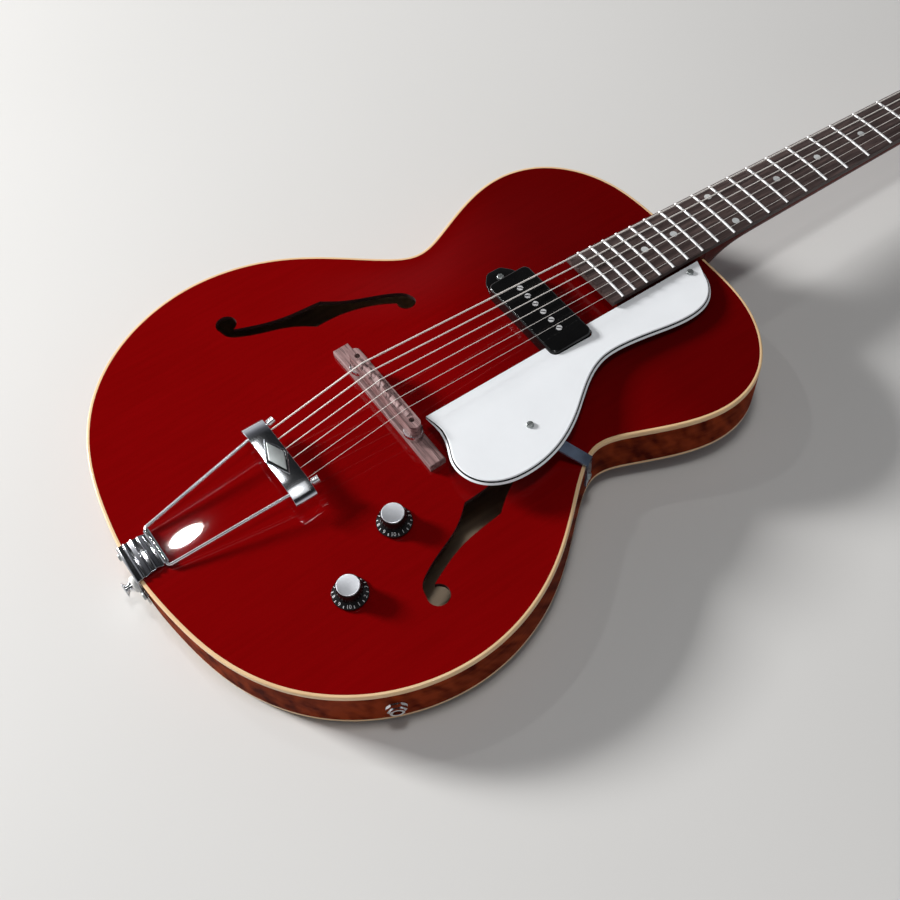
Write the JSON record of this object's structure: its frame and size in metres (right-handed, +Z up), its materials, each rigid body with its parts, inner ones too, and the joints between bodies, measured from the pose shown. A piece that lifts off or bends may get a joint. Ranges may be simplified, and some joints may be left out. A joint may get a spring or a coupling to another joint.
{
  "type": "archtop guitar",
  "caption": "Hollow-body archtop guitar with f-shaped sound holes, floating wooden bridge, trapeze tailpiece, single pickup, guard and two control knobs.",
  "frame": {"origin": "centre of the bounding box's footprint, at the level the guitar lies on", "axes": "+Y along the neck towards the head, +X to the treble side, +Z up, out of the top; the guitar lies on its back"},
  "size_m": [0.3968, 1.0314, 0.0866],
  "materials": {
    "cherry_top": "gloss lacquer, translucent cherry",
    "cherry_sides": "gloss lacquer, dark cherry",
    "cherry_neck": "gloss lacquer, dark cherry",
    "bare_wood": "unfinished",
    "rosewood": "oiled",
    "binding": "cream, polished",
    "pearl": "pearl",
    "bone": "polished bone",
    "black_plastic": "gloss black",
    "guard_plastic": "white top over black and white layers",
    "chrome": "polished",
    "nickel": "satin nickel",
    "string_steel": "wound and plain wire",
    "rod_steel": "plain",
    "felt": "felt",
    "winding": "enamelled copper",
    "magnet": "cast",
    "lead": "insulated lead"
  },
  "bodies": {
    "guitar": {"top_plate": "cherry_top", "back_plate": "cherry_sides", "rim_sides": "cherry_sides", "bindings": "binding", "end_blocks": "bare_wood", "linings": "bare_wood", "tone_bars": "bare_wood", "fingerboard": "rosewood", "frets": "nickel", "fingerboard_dots": "pearl", "neck": "cherry_neck", "headstock_veneer": "black_plastic", "truss_rod": "rod_steel", "truss_rod_cover": "black_plastic", "nut": "bone", "tuner_housings": "chrome", "tuner_bushings": "chrome", "strings": "string_steel", "bridge_base": "rosewood", "bridge_studs": "nickel", "tailpiece_hinge": "chrome", "tailpiece_rods": "chrome", "tailpiece_bar": "chrome", "pickup_cover": "black_plastic", "pickup_bobbin": "black_plastic", "pickup_coil": "winding", "pickup_poles": "chrome", "pickup_magnets": "magnet", "pots": "nickel", "output_jack": "chrome", "control_nuts": "chrome", "wiring": "lead", "pickguard": "guard_plastic", "pickguard_spacer": "black_plastic", "pickguard_bracket": "chrome", "screws": "chrome", "strap_button": "chrome", "strap_washer": "felt"},
    "volume": {"volume_knob": "black_plastic", "volume_cap": "chrome", "volume_shaft": "nickel"},
    "tone": {"tone_knob": "black_plastic", "tone_cap": "chrome", "tone_shaft": "nickel"},
    "saddle": {"bridge_saddle": "rosewood"},
    "wheel_bass": {"thumbwheel_bass": "chrome"},
    "wheel_treble": {"thumbwheel_treble": "chrome"},
    "key_1": {"tuner_key_1": "chrome"},
    "post_1": {"tuner_post_1": "chrome"},
    "key_2": {"tuner_key_2": "chrome"},
    "post_2": {"tuner_post_2": "chrome"},
    "key_3": {"tuner_key_3": "chrome"},
    "post_3": {"tuner_post_3": "chrome"},
    "key_4": {"tuner_key_4": "chrome"},
    "post_4": {"tuner_post_4": "chrome"},
    "key_5": {"tuner_key_5": "chrome"},
    "post_5": {"tuner_post_5": "chrome"},
    "key_6": {"tuner_key_6": "chrome"},
    "post_6": {"tuner_post_6": "chrome"}
  },
  "joints": [
    {"name": "volume_turn", "type": "hinge", "parent": "guitar", "child": "volume", "pos_m": [0.0826, -0.3425, 0.0581], "axis": [0, -0.0337, 0.9994], "range_deg": [0, 300]},
    {"name": "tone_turn", "type": "hinge", "parent": "guitar", "child": "tone", "pos_m": [0.1093, -0.39587, 0.0563], "axis": [0, -0.0337, 0.9994], "range_deg": [0, 300]},
    {"name": "saddle_lift", "type": "slide", "parent": "guitar", "child": "saddle", "axis": [0, -0.0337, 0.9994], "range_m": [-0.0028, 0.0028], "deforming": ["strings"]},
    {"name": "wheel_bass_turn", "type": "hinge", "parent": "saddle", "child": "wheel_bass", "pos_m": [-0.0355, -0.29406, 0.06944], "axis": [0, -0.0337, 0.9994], "range_deg": [-1444, 1444]},
    {"name": "wheel_treble_turn", "type": "hinge", "parent": "saddle", "child": "wheel_treble", "pos_m": [0.0355, -0.29406, 0.06944], "axis": [0, -0.0337, 0.9994], "range_deg": [-1444, 1444]},
    {"name": "key_1_turn", "type": "hinge", "parent": "guitar", "child": "key_1", "pos_m": [-0.0235, 0.39644, 0.02827], "axis": [-1, 0, 0], "continuous": true},
    {"name": "post_1_turn", "type": "hinge", "parent": "guitar", "child": "post_1", "pos_m": [-0.0235, 0.39337, 0.04854], "axis": [0, 0.2684, 0.9633], "continuous": true},
    {"name": "key_2_turn", "type": "hinge", "parent": "guitar", "child": "key_2", "pos_m": [-0.02241, 0.43401, 0.0178], "axis": [-1, 0, 0], "continuous": true},
    {"name": "post_2_turn", "type": "hinge", "parent": "guitar", "child": "post_2", "pos_m": [-0.02241, 0.43094, 0.03807], "axis": [0, 0.2684, 0.9633], "continuous": true},
    {"name": "key_3_turn", "type": "hinge", "parent": "guitar", "child": "key_3", "pos_m": [-0.0207, 0.47158, 0.00734], "axis": [-1, 0, 0], "continuous": true},
    {"name": "post_3_turn", "type": "hinge", "parent": "guitar", "child": "post_3", "pos_m": [-0.0207, 0.46851, 0.0276], "axis": [0, 0.2684, 0.9633], "continuous": true},
    {"name": "key_4_turn", "type": "hinge", "parent": "guitar", "child": "key_4", "pos_m": [0.0235, 0.39644, 0.02827], "axis": [1, 0, 0], "continuous": true},
    {"name": "post_4_turn", "type": "hinge", "parent": "guitar", "child": "post_4", "pos_m": [0.0235, 0.39337, 0.04854], "axis": [0, 0.2684, 0.9633], "continuous": true},
    {"name": "key_5_turn", "type": "hinge", "parent": "guitar", "child": "key_5", "pos_m": [0.02241, 0.43401, 0.0178], "axis": [1, 0, 0], "continuous": true},
    {"name": "post_5_turn", "type": "hinge", "parent": "guitar", "child": "post_5", "pos_m": [0.02241, 0.43094, 0.03807], "axis": [0, 0.2684, 0.9633], "continuous": true},
    {"name": "key_6_turn", "type": "hinge", "parent": "guitar", "child": "key_6", "pos_m": [0.0207, 0.47158, 0.00734], "axis": [1, 0, 0], "continuous": true},
    {"name": "post_6_turn", "type": "hinge", "parent": "guitar", "child": "post_6", "pos_m": [0.0207, 0.46851, 0.0276], "axis": [0, 0.2684, 0.9633], "continuous": true}
  ],
  "couplings": [
    {"joint": "wheel_bass_turn", "follows": "saddle_lift", "rad_per_m": 8976},
    {"joint": "wheel_treble_turn", "follows": "saddle_lift", "rad_per_m": 8976},
    {"joint": "post_1_turn", "follows": "key_1_turn", "ratio": -0.071429},
    {"joint": "post_2_turn", "follows": "key_2_turn", "ratio": -0.071429},
    {"joint": "post_3_turn", "follows": "key_3_turn", "ratio": -0.071429},
    {"joint": "post_4_turn", "follows": "key_4_turn", "ratio": 0.071429},
    {"joint": "post_5_turn", "follows": "key_5_turn", "ratio": 0.071429},
    {"joint": "post_6_turn", "follows": "key_6_turn", "ratio": 0.071429}
  ]
}
